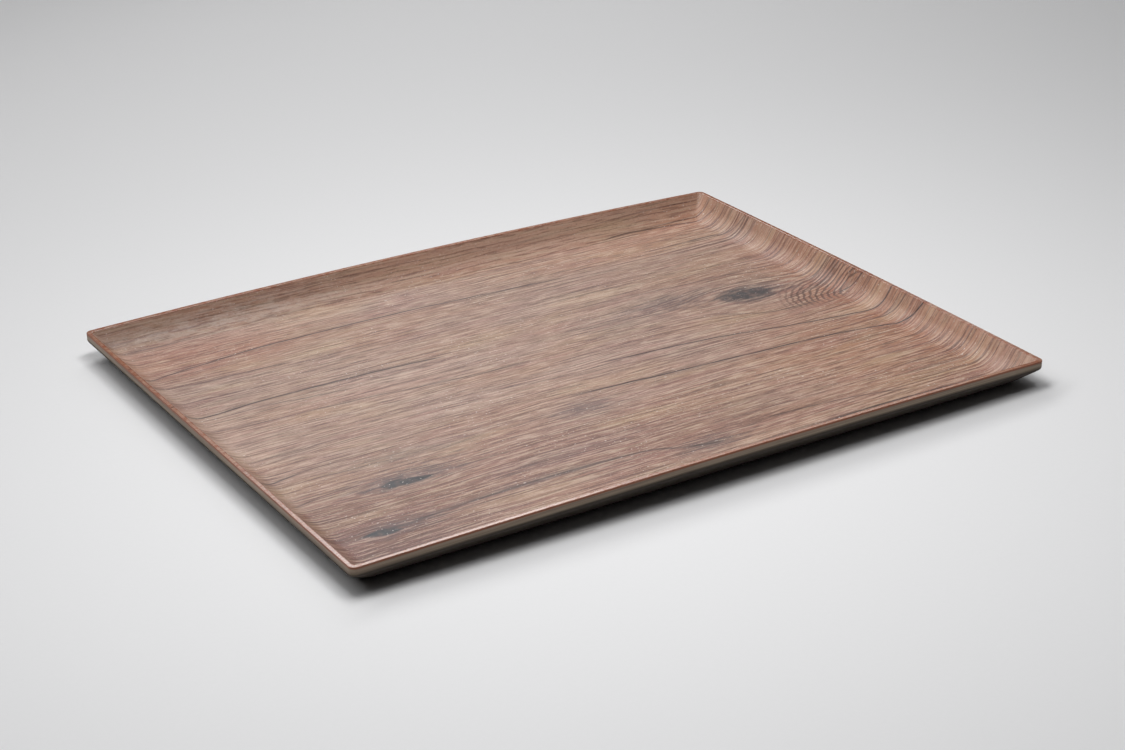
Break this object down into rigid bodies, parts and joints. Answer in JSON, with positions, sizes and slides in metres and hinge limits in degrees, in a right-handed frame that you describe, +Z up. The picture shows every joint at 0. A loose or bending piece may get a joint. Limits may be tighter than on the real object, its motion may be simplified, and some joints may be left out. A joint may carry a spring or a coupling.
{
  "type": "serving tray",
  "caption": "Flat rectangular serving tray with a low upswept rim, a narrow lip all round, a wood-grain printed surface and a plain moulded underside.",
  "frame": {"origin": "on the table, under the middle of the tray", "axes": "+X along the long sides, +Y along the short sides, +Z up out of the well"},
  "size_m": [0.441, 0.3334, 0.0181],
  "materials": {
    "body": "taupe moulded melamine, satin on the rim and matt underneath",
    "decor": "brown wood-grain print under a clear satin melamine glaze"
  },
  "bodies": {
    "root": {"tray_body": "body", "decor_foil": "decor"}
  },
  "joints": []
}
